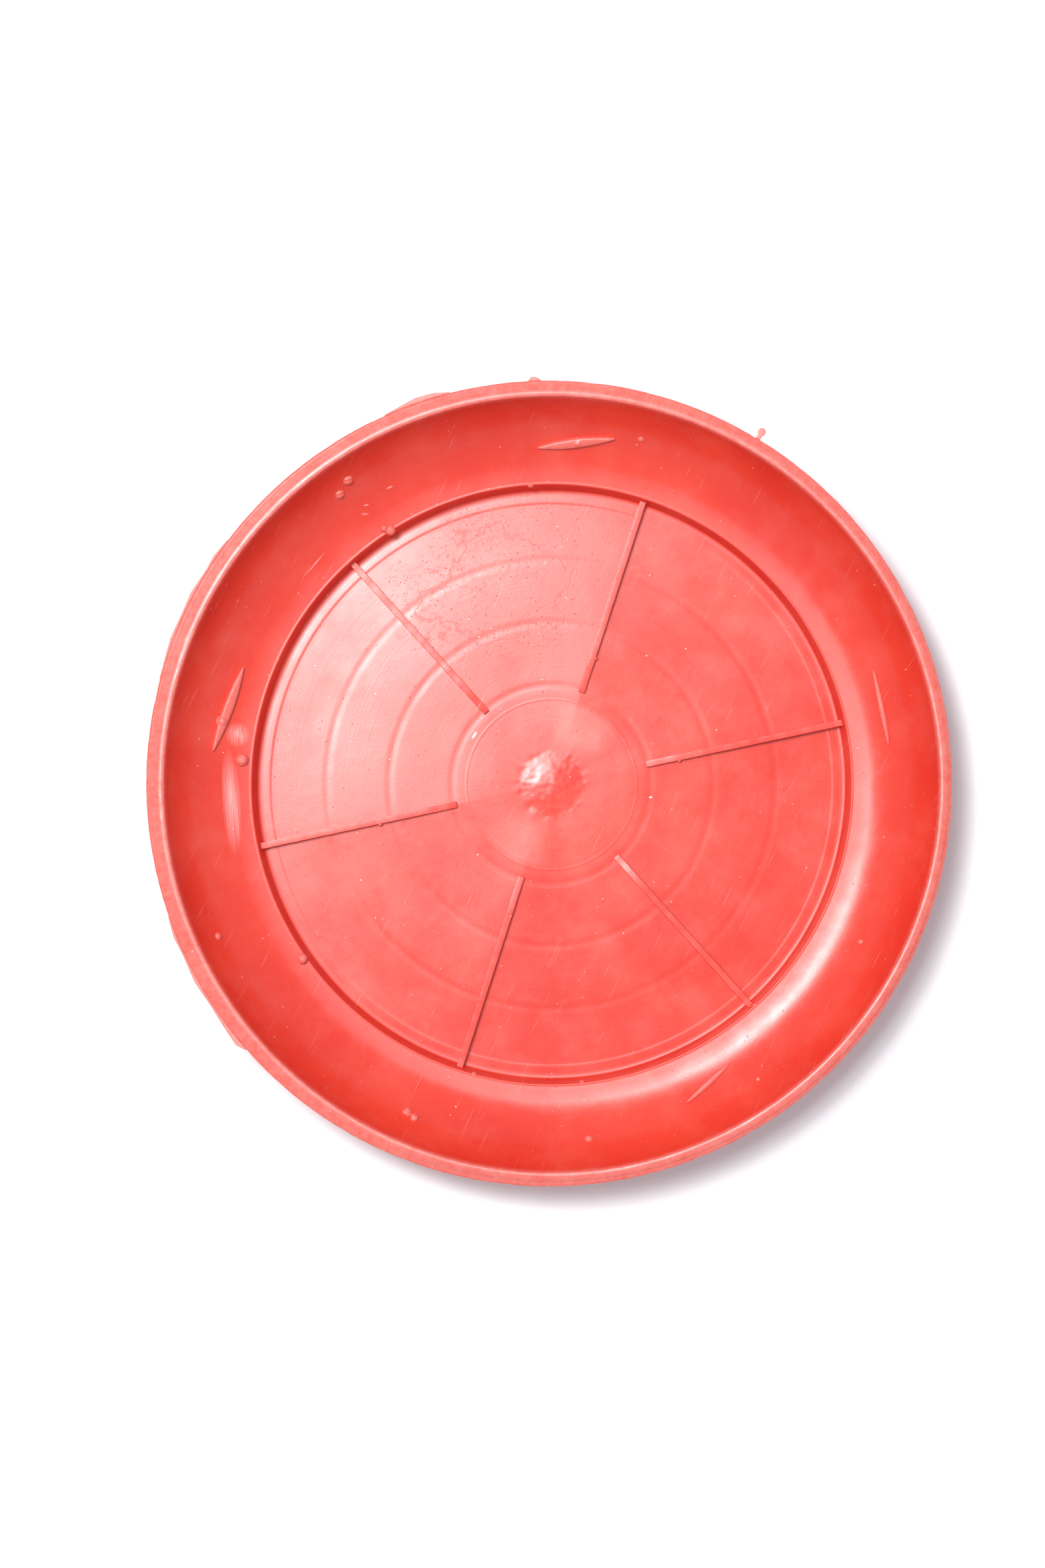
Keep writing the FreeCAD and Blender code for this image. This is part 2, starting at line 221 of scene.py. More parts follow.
brim_slope = math.acos((cove_z - wall_top) / cove_radius)
under_radius = cove_radius + shell
under_slope = math.acos((cove_z - flange_bottom) / under_radius)
foot_outer = channel_outer + 1.59 * mm  # the foot ring stands under the channel and the crest
foot_inner = channel_inner - shell
under_edge = floor_radius - shell
bead_inset = 0.9 * mm  # how far in from the crest's edge its inner face and its bead begin
bead_radius = crest_radius - bead_inset - 0.5 * mm
bead_height = crest_height - 0.32 * mm
inner_points = floor_profile()
crest_points = softened(
    [
        (*inner_points[-1], 0),
        (floor_radius - 2.3 * mm, floor_level + 0.075 * mm, 0.25 * mm),
        (floor_radius - 1.65 * mm, floor_level + 0.118 * mm, 0.4 * mm),
        (channel_inner - 0.4 * mm, floor_level + 0.04 * mm, 0.5 * mm),
        (channel_outer - bead_inset - 0.9 * mm, floor_level, 0.25 * mm),
        (channel_outer - bead_inset, floor_level + 0.14 * mm, 0.3 * mm),
        (bead_radius - 0.6 * mm, bead_height - 3.2 * mm, 0.8 * mm),
        (bead_radius - 0.25 * mm, bead_height - 0.3 * mm, 0.3 * mm),
        (bead_radius + 0.1 * mm, bead_height + 0.06 * mm, 0.25 * mm),
        (bead_radius + 0.5 * mm, bead_height, 0.18 * mm),
        (bead_radius + 0.75 * mm, bead_height - 0.02 * mm, 0.2 * mm),
        (wall_foot + 1 * mm, crest_height + 0.1 * mm, 0),
    ]
)
lip_points = softened(
    [
        (lip_inner - 0.3 * mm, wall_top - 1.2 * mm, 0),
        (lip_inner + 0.1 * mm, pan_high.z - 0.18 * mm, 0.4 * mm),
        (lip_inner + 1.0 * mm, pan_high.z, 0.45 * mm),
        (lip_outer - 0.5 * mm, pan_high.z - 0.16 * mm, 0.6 * mm),
        (lip_outer + 0.9 * mm, flange_top, 0.5 * mm),
        (pan_radius, flange_top - 0.2 * mm, 0.7 * mm),
        (pan_radius, flange_bottom, 0.7 * mm),
        (lip_outer - 0.6 * mm, flange_bottom, 0.4 * mm),
        (lip_outer - 1.2 * mm, flange_bottom - 1.5 * mm, 0),
    ]
)
foot_points = softened(
    [
        cove(under_radius, foot_slope, foot_slope + 0.1, 1)[1],
        (*cove(under_radius, foot_slope, under_slope, 1)[0], 0.3 * mm),
        (foot_outer, 0, 0.5 * mm),
        (foot_inner, 0, 0.5 * mm),
        (under_edge, floor_step, 0.3 * mm),
        (0, floor_step + crown, 0),
    ]
)
underside = [
    (under_edge * (1 - step / 10), floor_step + crown * (1 - (1 - step / 10) ** 2)) for step in range(1, 10)
]
section = [(0, floor_height(0) + boss_height)]
section += inner_points[1:]
section += crest_points
section += cove(cove_radius, foot_slope, brim_slope, 24)[2:-1]
section += lip_points
section += cove(under_radius, under_slope, foot_slope, 16)[1:-1]
section += foot_points + underside + [(0, floor_step + crown)]


def drawn_section(name, points):
    """A chain of edges in the XZ plane, drawn by drawing out one vertex from point to point."""
    bpy.ops.object.select_all(action="DESELECT")
    bpy.ops.mesh.primitive_plane_add(size=mm, location=(points[0][0], 0, points[0][1]))
    drawn = bpy.context.object
    drawn.name = name
    bpy.ops.object.mode_set(mode="EDIT")
    bpy.ops.mesh.merge(type="CENTER")
    for (x, z), (next_x, next_z) in zip(points, points[1:]):
        bpy.ops.mesh.extrude_region_move(TRANSFORM_OT_translate={"value": (next_x - x, 0, next_z - z)})
    bpy.ops.object.mode_set(mode="OBJECT")
    bpy.ops.object.transform_apply(location=True)
    return drawn


pan = drawn_section("moulded_pan", section)
bpy.ops.object.mode_set(mode="EDIT")
bpy.ops.mesh.select_all(action="SELECT")
bpy.ops.mesh.spin(steps=spin_steps, angle=2 * math.pi, center=(0, 0, 0), axis=(0, 0, 1))
bpy.ops.mesh.select_all(action="SELECT")
bpy.ops.mesh.remove_doubles(threshold=0.004 * mm)
bpy.ops.mesh.normals_make_consistent(inside=False)
bpy.ops.object.mode_set(mode="OBJECT")

# Cooling left the floor sagging a little between the ribs and faintly uneven all over. The gate is torn off
# at the centre, the flange has a ragged edge and sits off centre, and the lip is nicked all round.
rib_count = 6
sag, sag_start, sag_run = 0.22 * mm, 18 * mm, 20 * mm
unevenness, swell_length, edge_fade = 0.10 * mm, 38 * mm, 14 * mm
torn_gate, torn_length = 0.06 * mm, 3.4 * mm
nick_depth, nick_length = 0.16 * mm, 3.2 * mm
raggedness, ragged_length = 0.25 * mm, 6 * mm
for vertex in pan.data.vertices:
    spot = vertex.co
    radius = math.hypot(spot.x, spot.y)
    turn = math.atan2(spot.y, spot.x)
    moving_edge = floor_radius if spot.z > shell else under_edge
    if radius < moving_edge:
        between = abs(math.sin(turn * rib_count / 2))
        from_centre = min(1, max(0, (radius - sag_start) / sag_run))
        from_edge = min(1, (floor_radius - radius) / edge_fade)
        spot.z -= sag * between * from_centre * from_edge
        spot.z += unevenness * noise.noise(Vector((spot.x, spot.y, 0)) / swell_length) * from_edge
        if radius < boss_radius * 1.2 and spot.z > shell:
            torn = noise.fractal(Vector((spot.x, spot.y, 0)) / torn_length, 1.0, 2.0, 2)
            spot.z += torn_gate * torn * min(1, 6 * (1.2 - radius / boss_radius))
    elif radius > lip_inner - 1 * mm and spot.z > flange_top + 0.3 * mm:
        rough = noise.fractal(Vector((spot.x, spot.y, spot.z)) / nick_length, 1.0, 2.0, 4)
        spot.z -= nick_depth * max(0, rough - 0.1)
    if spot.z > flange_bottom - 0.2 * mm and radius > lip_outer + 0.05 * mm:
        ragged = noise.fractal(Vector((spot.x, spot.y, 0)) / ragged_length, 1.0, 2.0, 3)
        out = 1 - raggedness * max(0, ragged) / radius
        spot.x = spot.x * out + mould_shift.x
        spot.y = spot.y * out + mould_shift.y

# Moulded polypropylene, pigmented red: a glossy skin over a faintly wavy surface, turned in the mould, with
# flow marks, scuffs, white stress flecks, pits from damp granules, a thin chalky bloom and painted sheen on
# the centre disc.
plastic = bpy.data.materials.new("moulded_red_polypropylene")
plastic.use_nodes = True
tree = plastic.node_tree
shader = tree.nodes["Principled BSDF"]
place = node(tree, "TexCoord", {}, {}).outputs["Object"]
axes = node(tree, "SeparateXYZ", {}, {"Vector": place})
height = axes.outputs["Z"]
flat = node(tree, "CombineXYZ", {}, {"X": axes.outputs["X"], "Y": axes.outputs["Y"]}).outputs["Vector"]
radius = node(tree, "VectorMath", {"operation": "LENGTH"}, {0: flat}).outputs["Value"]
outward = node(tree, "VectorMath", {"operation": "NORMALIZE"}, {0: flat}).outputs["Vector"]

# The pigment drifts between two reds over about 30 mm, and a chalky bloom lies over it in clouds.
drift = node(tree, "TexNoise", {}, {"Vector": place, "Scale": 1 / (30 * mm), "Detail": 3.0})
drift = node(tree, "MapRange", {}, {"Value": drift.outputs["Fac"], "From Min": 0.35, "From Max": 0.65})
skin = node(
    tree,
    "Mix",
    {"data_type": "RGBA"},
    {0: drift.outputs["Result"], 6: colour("D93324"), 7: colour("E03D2A")},
)
clouds = node(
    tree, "TexNoise", {}, {"Vector": place, "Scale": 1 / (14 * mm), "Detail": 7.0, "Roughness": 0.62}
)
bloom = node(
    tree,
    "MapRange",
    {},
    {"Value": clouds.outputs["Fac"], "From Min": 0.46, "From Max": 0.74, "To Max": 0.09},
)
skin = node(
    tree,
    "Mix",
    {"data_type": "RGBA"},
    {0: bloom.outputs["Result"], 6: skin.outputs[2], 7: colour("EE9A8C")},
)

# One sector of the floor cooled badly: a patch about 66 by 48 mm, crossed by curling flow fronts.
patch_centre = (-2.3 * mm, 66 * mm, 0)
patch_reach = (36 * mm, 25 * mm, 1)
patch_place = node(
    tree,
    "Mapping",
    {"vector_type": "TEXTURE"},
    {"Vector": flat, "Location": patch_centre, "Scale": patch_reach},
)
curl = node(tree, "TexNoise", {}, {"Vector": flat, "Scale": 1 / (17 * mm), "Detail": 4.0, "Roughness": 0.6})
curled = node(
    tree,
    "VectorMath",
    {"operation": "MULTIPLY_ADD"},
    {0: curl.outputs["Color"], 1: (1.5, 1.5, 0), 2: patch_place.outputs["Vector"]},
)
recentred = node(
    tree, "VectorMath", {"operation": "SUBTRACT"}, {0: curled.outputs["Vector"], 1: (0.75, 0.75, 0)}
)
front = node(tree, "VectorMath", {"operation": "LENGTH"}, {0: recentred.outputs["Vector"]}).outputs["Value"]
inside = node(tree, "MapRange", {}, {"Value": front, "From Min": 1.08, "From Max": 0.92}).outputs["Result"]
step = node(tree, "Math", {"operation": "PINGPONG"}, {0: front, 1: 0.31}).outputs["Value"]
line = node(tree, "MapRange", {}, {"Value": step, "From Min": 0.045, "From Max": 0.0}).outputs["Result"]
mottle = node(
    tree, "TexNoise", {}, {"Vector": flat, "Scale": 1 / (1.6 * mm), "Detail": 5.0, "Roughness": 0.7}
)
mottle = node(tree, "MapRange", {}, {"Value": mottle.outputs["Fac"], "From Min": 0.50, "From Max": 0.74})
speckled = node(tree, "Math", {"operation": "MULTIPLY"}, {0: mottle.outputs["Result"], 1: inside})
marked = node(tree, "Math", {"operation": "MULTIPLY"}, {0: line, 1: inside})
matt = node(tree, "Math", {"operation": "MAXIMUM"}, {0: marked.outputs[0], 1: speckled.outputs[0]})
matt = matt.outputs[0]
dulled = node(tree, "Math", {"operation": "MULTIPLY"}, {0: matt, 1: 0.22})
skin = node(
    tree, "Mix", {"data_type": "RGBA"}, {0: dulled.outputs[0], 6: skin.outputs[2], 7: colour("CF3A2C")}
)

# Pits of 0.2 to 0.4 mm with dirt in them, close together in the patch and few elsewhere.
pit_cells = node(tree, "TexVoronoi", {}, {"Vector": place, "Scale": 1 / (1.15 * mm)})
pit_dice = node(tree, "SeparateColor", {}, {"Color": pit_cells.outputs["Color"]}).outputs["Red"]
pit_share = node(tree, "MapRange", {}, {"Value": inside, "To Min": 0.05, "To Max": 0.34}).outputs["Result"]
chosen = node(tree, "Math", {"operation": "LESS_THAN"}, {0: pit_dice, 1: pit_share})
pit = node(
    tree, "MapRange", {}, {"Value": pit_cells.outputs["Distance"], "From Min": 0.19, "From Max": 0.06}
)
pit = node(tree, "Math", {"operation": "MULTIPLY"}, {0: pit.outputs["Result"], 1: chosen.outputs[0]})
pit = pit.outputs[0]
dirt = node(tree, "Math", {"operation": "MULTIPLY"}, {0: pit, 1: 0.55})
skin = node(
    tree, "Mix", {"data_type": "RGBA"}, {0: dirt.outputs[0], 6: skin.outputs[2], 7: colour("8C3A2C")}
)

# White stress flecks of 0.1 to 0.4 mm, one in three of the cells of a 2.1 mm net.
fleck_cells = node(tree, "TexVoronoi", {}, {"Vector": place, "Scale": 1 / (2.1 * mm)})
fleck_dice = node(tree, "SeparateColor", {}, {"Color": fleck_cells.outputs["Color"]})
fleck_reach = node(
    tree,
    "MapRange",
    {},
    {"Value": fleck_dice.outputs["Red"], "From Min": 0.66, "From Max": 1.0, "To Min": 0.0, "To Max": 0.11},
)
fleck = node(
    tree,
    "Math",
    {"operation": "LESS_THAN"},
    {0: fleck_cells.outputs["Distance"], 1: fleck_reach.outputs["Result"]},
)
fleck = node(tree, "Math", {"operation": "MULTIPLY"}, {0: fleck.outputs[0], 1: fleck_dice.outputs["Green"]})
skin = node(
    tree, "Mix", {"data_type": "RGBA"}, {0: fleck.outputs[0], 6: skin.outputs[2], 7: colour("F8DAD2")}
)

# Painted sheen: two paler lobes lie across the centre disc, standing in for the bright band that the lamps
# draw across it.
sheen_lobe_axis = (math.cos(math.radians(48)), math.sin(math.radians(48)), 0)
along_sheen_lobes = node(tree, "VectorMath", {"operation": "DOT_PRODUCT"}, {0: outward, 1: sheen_lobe_axis})
sheen_lobes = node(tree, "Math", {"operation": "ABSOLUTE"}, {0: along_sheen_lobes.outputs["Value"]})
sheen_lobes = node(tree, "MapRange", {}, {"Value": sheen_lobes.outputs[0], "From Min": 0.86, "From Max": 0.97})
disc = node(tree, "MapRange", {}, {"Value": radius, "From Min": 27.5 * mm, "From Max": 25 * mm})
off_gate = node(tree, "MapRange", {}, {"Value": radius, "From Min": 10 * mm, "From Max": 17 * mm})
disc = node(
    tree, "Math", {"operation": "MULTIPLY"}, {0: disc.outputs["Result"], 1: off_gate.outputs["Result"]}
)
sheen_lobes = node(tree, "Math", {"operation": "MULTIPLY"}, {0: sheen_lobes.outputs["Result"], 1: disc.outputs[0]})
painted_sheen = node(tree, "Math", {"operation": "MULTIPLY"}, {0: sheen_lobes.outputs[0], 1: clouds.outputs["Fac"]})
painted_sheen = node(tree, "Math", {"operation": "MULTIPLY"}, {0: painted_sheen.outputs[0], 1: 0.5})
# The painted sheen of the lobes is mixed into the skin colour here.
skin = node(
    tree, "Mix", {"data_type": "RGBA"}, {0: painted_sheen.outputs[0], 6: skin.outputs[2], 7: colour("F09C8E")}
)

# Long fine scratches from scrubbing, nearly all one way, 0.2 mm wide and up to 20 mm long.
scrub = node(
    tree,
    "Mapping",
    {"vector_type": "TEXTURE"},
    {"Vector": flat, "Rotation": (0, 0, math.radians(52)), "Scale": (19 * mm, 0.24 * mm, 1)},
)
scratch = node(tree, "TexNoise", {}, {"Vector": scrub.outputs["Vector"], "Scale": 1.0, "Detail": 2.0})
scratch = node(tree, "MapRange", {}, {"Value": scratch.outputs["Fac"], "From Min": 0.69, "From Max": 0.76})
scratched = node(tree, "Math", {"operation": "MULTIPLY"}, {0: scratch.outputs["Result"], 1: 0.5})
skin = node(
    tree, "Mix", {"data_type": "RGBA"}, {0: scratched.outputs[0], 6: skin.outputs[2], 7: colour("F7BDB2")}
)

# The lip is scuffed pale where the pans rub when they are stacked.
lip_share = node(
    tree,
    "MapRange",
    {},
    {"Value": height, "From Min": pan_high.z - 3.2 * mm, "From Max": pan_high.z - 0.8 * mm},
)
rub = node(tree, "TexNoise", {}, {"Vector": place, "Scale": 1 / (2.2 * mm), "Detail": 6.0, "Roughness": 0.7})
rub = node(
    tree,
    "MapRange",
    {},
    {"Value": rub.outputs["Fac"], "From Min": 0.3, "From Max": 0.7, "To Min": 0.15, "To Max": 0.42},
)
rubbed = node(
    tree, "Math", {"operation": "MULTIPLY"}, {0: rub.outputs["Result"], 1: lip_share.outputs["Result"]}
)
skin = node(
    tree, "Mix", {"data_type": "RGBA"}, {0: rubbed.outputs[0], 6: skin.outputs[2], 7: colour("F2A79C")}
)

# Single scuffs and chips, bare to the white: (x, y, length, width) in millimetres, its turn in degrees, and
# how broken it is, from 0, a solid chip, to 1, a haze of fine streaks.
for x, y, length, width, turn, broken in [
    (-20.6, 20.2, 2.8, 0.8, 46, 0.0),
    (29.8, -10.5, 1.0, 0.7, 0, 0.0),
    (-93.3, 35.8, 8.0, 8.0, 78, 0.9),
    (-99.5, 15.5, 34.0, 6.0, 82, 0.8),
    (-30.4, 101.7, 3.1, 0.8, 13, 0.85),
    (-38.7, 97.8, 2.4, 0.7, 3, 0.85),
    (-39.7, 95.2, 2.9, 0.7, -8, 0.85),
    (-58.3, 83.2, 11.2, 0.5, 38, 0.8),
]:
    scuff_place = node(
        tree,
        "Mapping",
        {"vector_type": "TEXTURE"},
        {
            "Vector": flat,
            "Location": (x * mm, y * mm, 0),
            "Rotation": (0, 0, math.radians(turn)),
            "Scale": (length / 2 * mm, width / 2 * mm, 1),
        },
    ).outputs["Vector"]
    reach = node(tree, "VectorMath", {"operation": "LENGTH"}, {0: scuff_place}).outputs["Value"]
    solid = node(tree, "MapRange", {}, {"Value": reach, "From Min": 1.0, "From Max": 0.75 - 0.7 * broken})
    streak_place = node(tree, "Mapping", {}, {"Vector": scuff_place, "Scale": (0.7, width / 0.5, 1)})
    streaks = node(
        tree, "TexNoise", {}, {"Vector": streak_place.outputs["Vector"], "Scale": 1.0, "Detail": 3.0}
    )
    streaks = node(
        tree,
        "MapRange",
        {},
        {"Value": streaks.outputs["Fac"], "From Min": 0.38, "From Max": 0.66, "To Min": 1 - broken},
    )
    scuff = node(
        tree, "Math", {"operation": "MULTIPLY"}, {0: solid.outputs["Result"], 1: streaks.outputs["Result"]}
    )
    scuff = node(tree, "Math", {"operation": "MULTIPLY"}, {0: scuff.outputs[0], 1: 0.95 - 0.45 * broken})
    skin = node(
        tree, "Mix", {"data_type": "RGBA"}, {0: scuff.outputs[0], 6: skin.outputs[2], 7: colour("FBEAE6")}
    )

# The excess plastic, which carries the attribute excess, is paler and less glossy than the pan.
excess = node(tree, "Attribute", {"attribute_name": "excess"}, {}).outputs["Fac"]
chalked = node(tree, "Math", {"operation": "MULTIPLY"}, {0: excess, 1: 0.28})
skin = node(
    tree, "Mix", {"data_type": "RGBA"}, {0: chalked.outputs[0], 6: skin.outputs[2], 7: colour("F2A79C")}
)
tree.links.new(skin.outputs[2], shader.inputs["Base Color"])
shader.inputs["IOR"].default_value = 1.6

# Gloss varies over 9 mm, and is lost where the skin is matt, pitted, bloomed or rubbed, and where grime lies
# in the channel and along the crest.
grime_start, grime_full, grime_end = channel_inner - 0.5 * mm, channel_inner + 0.2 * mm, wall_foot + 5 * mm
in_channel = node(tree, "MapRange", {}, {"Value": radius, "From Min": grime_start, "From Max": grime_full})
past_crest = node(tree, "MapRange", {}, {"Value": radius, "From Min": grime_end, "From Max": wall_foot})
grime = node(
    tree,
    "Math",
    {"operation": "MULTIPLY"},
    {0: in_channel.outputs["Result"], 1: past_crest.outputs["Result"]},
).outputs[0]
turned = node(tree, "CombineXYZ", {}, {"X": radius, "Y": height}).outputs["Vector"]
turning = node(tree, "TexNoise", {}, {"Vector": turned, "Scale": 1 / (0.8 * mm), "Detail": 3.0})
turning = turning.outputs["Fac"]
gloss = node(tree, "TexNoise", {}, {"Vector": place, "Scale": 1 / (9 * mm), "Detail": 5.0, "Roughness": 0.6})
gloss = node(
    tree,
    "MapRange",
    {},
    {"Value": gloss.outputs["Fac"], "From Min": 0.3, "From Max": 0.7, "To Min": 0.21, "To Max": 0.28},
)
losses = [(matt, 0.12), (pit, 0.3), (bloom.outputs["Result"], 0.5), (turning, 0.04), (grime, 0.14)]
for loss, amount in [*losses, (lip_share.outputs["Result"], 0.06), (excess, 0.16)]:
    gloss = node(tree, "Math", {"operation": "MULTIPLY_ADD"}, {0: loss, 1: amount, 2: gloss.outputs[0]})
tree.links.new(gloss.outputs[0], shader.inputs["Roughness"])

# Relief in metres: long waves, orange peel, the turned mould's rings, pits, and the radial flow marks that
# spread from the gate over the centre disc.
waves = node(tree, "TexNoise", {}, {"Vector": place, "Scale": 1 / (11 * mm), "Detail": 2.0}).outputs["Fac"]
peel = node(tree, "TexNoise", {}, {"Vector": place, "Scale": 1 / (0.7 * mm), "Detail": 4.0}).outputs["Fac"]
spread = node(tree, "TexNoise", {}, {"Vector": outward, "Scale": 52.0, "Detail": 5.0}).outputs["Fac"]
spread = node(tree, "Math", {"operation": "MULTIPLY"}, {0: spread, 1: disc.outputs[0]}).outputs[0]
off_lip = node(
    tree,
    "MapRange",
    {},
    {"Value": height, "From Min": pan_high.z - 2 * mm, "From Max": pan_high.z - 4 * mm},
)
rings = node(tree, "Math", {"operation": "MULTIPLY"}, {0: turning, 1: off_lip.outputs["Result"]}).outputs[0]
relief = node(tree, "Math", {"operation": "MULTIPLY"}, {0: waves, 1: 0.035 * mm})
for part, amount in [(peel, 0.008), (rings, 0.006), (pit, -0.04), (matt, -0.006), (spread, 0.010)]:
    relief = node(
        tree, "Math", {"operation": "MULTIPLY_ADD"}, {0: part, 1: amount * mm, 2: relief.outputs[0]}
    )
bump = node(tree, "Bump", {}, {"Height": relief.outputs[0], "Distance": 1.0, "Strength": 1.0})
tree.links.new(bump.outputs["Normal"], shader.inputs["Normal"])
pan.data.materials.append(plastic)
bpy.ops.object.select_all(action="DESELECT")
pan.select_set(True)
bpy.context.view_layer.objects.active = pan
bpy.ops.object.shade_smooth_by_angle(angle=math.radians(40))
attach(pan, "root")
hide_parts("pan")

# Six ribs stand on the floor to carry whatever is set in the pan. Each is part of the moulding: level on
# top, ramped down at its inner end, and run into the crest at its outer end.
rib_width = 2.0 * mm
rib_top = floor_level + 3.3 * mm
rib_inner = 30.5 * mm
rib_ramp = 10 * mm
rib_start = floor_height(rib_inner) + 1.4 * mm  # height of the rib at its inner end
rib_waver_up = 0.06 * mm
rib_waver_aside = 0.09 * mm
rib_steps = 48
rib_end = channel_outer + 1.2 * mm
rib_step = (rib_end - rib_inner) / rib_steps
rib_root = 0.9 * mm  # how deep a rib's foot is sunk into the floor, so that no gap shows
channel_root = 0.5 * mm
for number in range(rib_count):
    bpy.ops.object.select_all(action="DESELECT")
    bpy.ops.mesh.primitive_plane_add(size=1, location=(0, 0, 0))
    rib = bpy.context.object
    rib.name = f"floor_rib_{number + 1}"
    corners = [(-0.5, 0), (0.5, 0), (-0.5, 1), (0.5, 1)]
    for vertex, (side, up) in zip(rib.data.vertices, corners):
        vertex.co = (rib_inner, side * rib_width, up)
    bpy.ops.object.mode_set(mode="EDIT")
    bpy.ops.mesh.select_all(action="SELECT")
    for step in range(rib_steps):
        bpy.ops.mesh.extrude_region_move(TRANSFORM_OT_translate={"value": (rib_step, 0, 0)})
    bpy.ops.mesh.select_all(action="SELECT")
    bpy.ops.mesh.remove_doubles(threshold=0.001 * mm)
    bpy.ops.mesh.normals_make_consistent(inside=False)
    bpy.ops.object.mode_set(mode="OBJECT")
    for vertex in rib.data.vertices:
        spot = vertex.co
        ramp = min(1, (spot.x - rib_inner) / rib_ramp)
        top = rib_start + (rib_top - rib_start) * ramp
        over_floor = spot.x < floor_radius - 3 * mm
        under = floor_height(spot.x) - rib_root if over_floor else channel_level - channel_root
        spot.z = top if spot.z > 0.5 else under
        spot.z += rib_waver_up * noise.noise(Vector((spot.x / (2 * mm), number * 7, spot.z * 50)))
        spot.y += rib_waver_aside * noise.noise(Vector((spot.x / (3 * mm), number * 5 + 3, 0)))
    bevel = rib.modifiers.new("eased_edges", "BEVEL")
    bevel.width = 0.14 * mm
    bevel.segments = 2
    bevel.limit_method = "ANGLE"
    bevel.angle_limit = math.radians(50)
    bpy.ops.object.modifier_apply(modifier=bevel.name)
    rib.rotation_euler = (0, 0, 2 * math.pi * number / rib_count)
    bpy.ops.object.transform_apply(rotation=True)
    bpy.ops.object.shade_smooth_by_angle(angle=math.radians(40))
    flat_tops = rib.modifiers.new("flat_tops", "WEIGHTED_NORMAL")
    flat_tops.keep_sharp = True
    bpy.ops.object.modifier_apply(modifier=flat_tops.name)
    rib.data.materials.append(plastic)
    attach(rib, "root")

# Four long scars on the wall, perhaps where the mould was mended: spindles of the same plastic that stand
# proud, smooth and round on top. The two larger ones have a small knob on them.
lumpy = bpy.data.textures.new("lumpy", "CLOUDS")
lumpy.noise_scale = 1.3 * mm


def moulded_lump(name, grow, rough, smoothing, grain=0.14 * mm):
    """A softened, uneven copy of a CAD node, swollen by grow, that stands for it."""
    bpy.ops.object.select_all(action="DESELECT")
    lump = frame["nodes"][name].copy()
    lump.data = frame["nodes"][name].data.copy()
    lump.name = "moulded_" + name
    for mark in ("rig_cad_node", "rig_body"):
        del lump[mark]
    lump.parent = None
    lump.data.materials.clear()
    bpy.context.scene.collection.objects.link(lump)
    lump.select_set(True)
    bpy.context.view_layer.objects.active = lump
    bpy.ops.object.mode_set(mode="EDIT")
    bpy.ops.mesh.select_all(action="SELECT")
    bpy.ops.mesh.remove_doubles(threshold=0.002 * mm)
    bpy.ops.object.mode_set(mode="OBJECT")
    swell = lump.modifiers.new("swell", "DISPLACE")
    swell.strength = grow
    swell.mid_level = 0
    close = lump.modifiers.new("close", "REMESH")
    close.mode = "VOXEL"
    close.voxel_size = grain
    uneven = lump.modifiers.new("uneven", "DISPLACE")
    uneven.texture = lumpy
    uneven.strength = rough
    uneven.mid_level = 0.5
    soften = lump.modifiers.new("soften", "SMOOTH")
    soften.factor = 0.5
    soften.iterations = smoothing
    for modifier in (swell, close, uneven, soften):
        bpy.ops.object.modifier_apply(modifier=modifier.name)
    bpy.ops.object.shade_smooth()
    lump.data.materials.append(plastic)
    excess_share = lump.data.attributes.new("excess", "FLOAT", "POINT")
    excess_share.data.foreach_set("value", [1.0] * len(lump.data.vertices))
    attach(lump, "root")
    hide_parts(name)
    return lump


scar_crown = 0.55 * mm


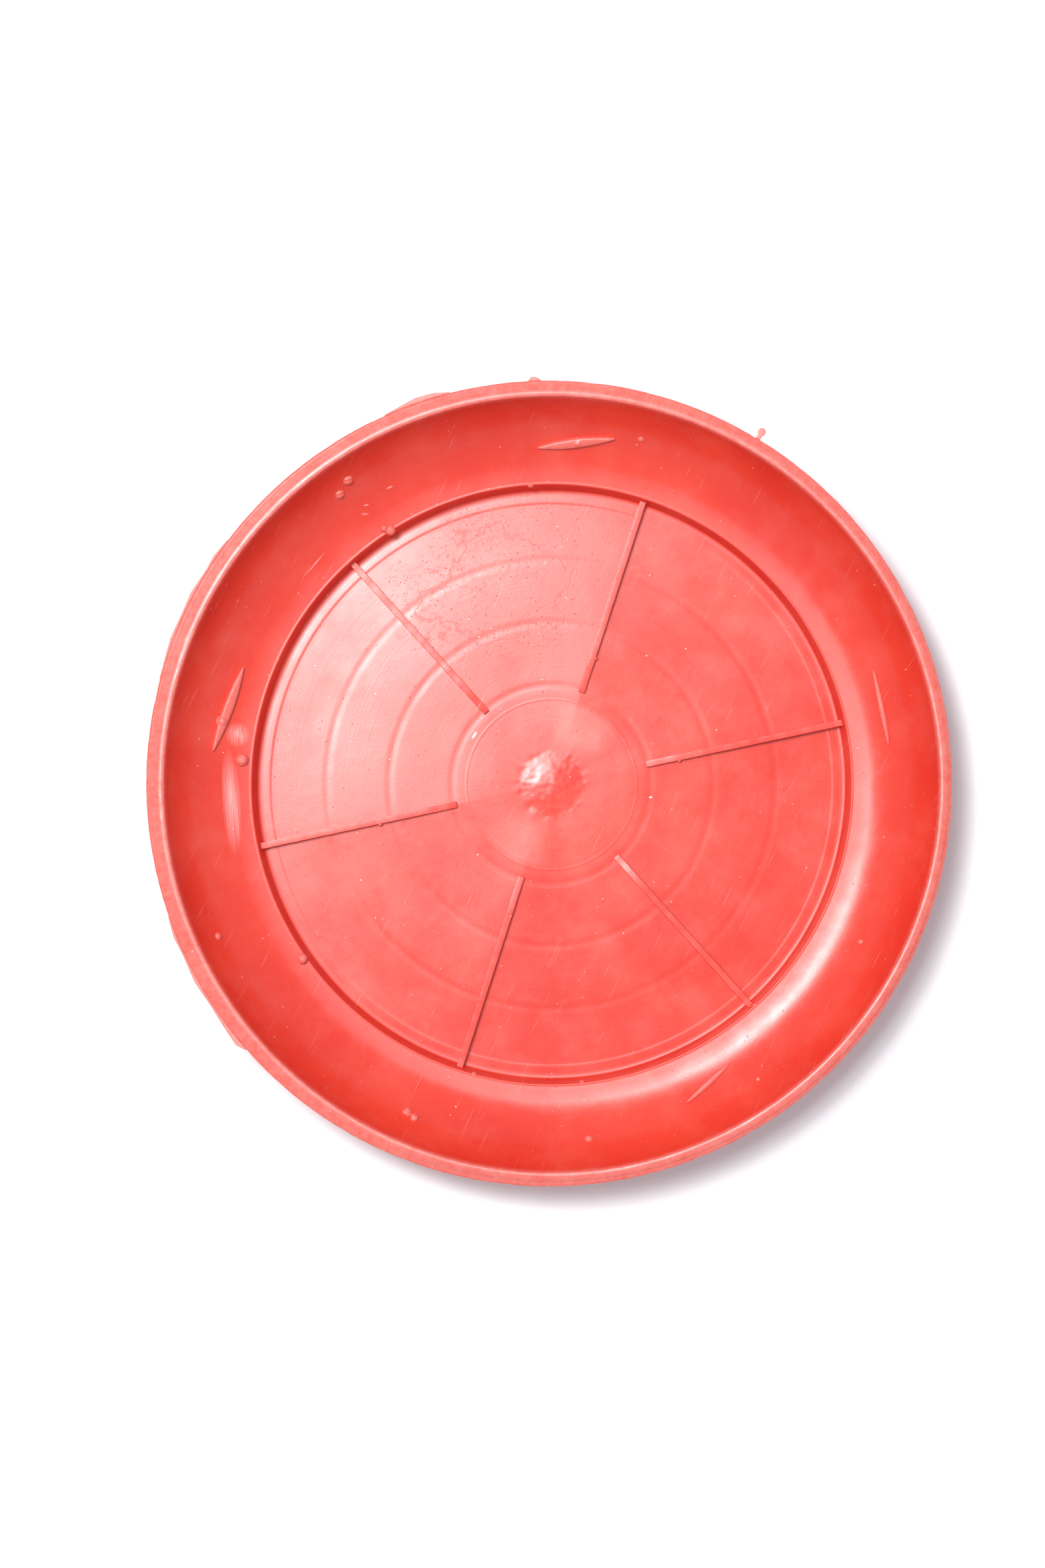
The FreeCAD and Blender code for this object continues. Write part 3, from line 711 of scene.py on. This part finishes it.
def crown_scar(scar):
    """Raises a scar's free side into a crown, highest along the line from tip to tip."""
    spots = [vertex.co.copy() for vertex in scar.data.vertices]
    middle = sum(spots, Vector()) / len(spots)
    tip = max(spots, key=lambda spot: (spot - middle).length)
    tail = max(spots, key=lambda spot: (spot - tip).length)
    along = (tip - tail).normalized()
    length = (tip - tail).length
    inward = Vector((-middle.x, -middle.y, 0)).normalized()
    to_cove_centre = inward * (math.hypot(middle.x, middle.y) - cove_x) + Vector((0, 0, cove_z - middle.z))
    away = to_cove_centre.normalized()
    across = along.cross(away).normalized()
    half_width = max(abs((spot - middle).dot(across)) for spot in spots)
    for vertex in scar.data.vertices:
        spot = vertex.co
        taper = math.sin(math.pi * min(1, max(0, (spot - tail).dot(along) / length)))
        half = half_width * max(0.05, taper)
        bulge = max(0, 1 - ((spot - middle).dot(across) / half) ** 2) * taper
        from_cove_centre = Vector((math.hypot(spot.x, spot.y) - cove_x, spot.z - cove_z)).length
        if from_cove_centre < cove_radius - 0.05 * mm:
            spot += away * scar_crown * bulge


for name in ("wall_scar_top", "wall_scar_left", "wall_scar_right", "wall_scar_bottom"):
    crown_scar(moulded_lump(name, grow=0.32 * mm, rough=0.16 * mm, smoothing=14))

# Pips on the wall, perhaps where vents of the mould were plugged: round beads of the same plastic, two of
# them slotted, and one torn open when the pan was pulled off.
slot_half_width = 0.3 * mm
slot_depth = 0.6 * mm


def cut_slots(pips):
    """Presses a slot across the top of each of the two pips, which lie side by side along X."""
    split = sum(vertex.co.x for vertex in pips.data.vertices) / len(pips.data.vertices)
    for side in (-1, 1):
        pip = [vertex for vertex in pips.data.vertices if (vertex.co.x - split) * side > 0]
        pip_middle = sum((vertex.co for vertex in pip), Vector()) / len(pip)
        for vertex in pip:
            off_slot = abs(vertex.co.y - pip_middle.y) / slot_half_width
            if off_slot < 1 and vertex.co.z > pip_middle.z:
                vertex.co.z -= slot_depth * (1 - off_slot**2)


moulded_lump("wall_pips", grow=0.12 * mm, rough=0.3 * mm, smoothing=5)
cut_slots(moulded_lump("slotted_pips", grow=0.03 * mm, rough=0.15 * mm, smoothing=2, grain=0.09 * mm))
moulded_lump("torn_pip", grow=0.14 * mm, rough=0.7 * mm, smoothing=2)

# Drips and knobs of plastic that were squeezed out along the crest, and set where they ran.
for name in ("crest_pips", "crest_twin_knob", "crest_round_knob"):
    moulded_lump(name, grow=0.12 * mm, rough=0.35 * mm, smoothing=4)

# Nubs of flash on the ribs' flanks, the size of a pinhead.
moulded_lump("rib_nubs", grow=0.10 * mm, rough=0.3 * mm, smoothing=3)

# Flash outside the rim: films of plastic half a millimetre thick that leaked between the mould's halves and
# were never trimmed.
for name in ("flash_tab", "flash_nib", "flash_leaf", "flash_left", "flash_lower_left"):
    moulded_lump(name, grow=0.12 * mm, rough=0.10 * mm, smoothing=12)
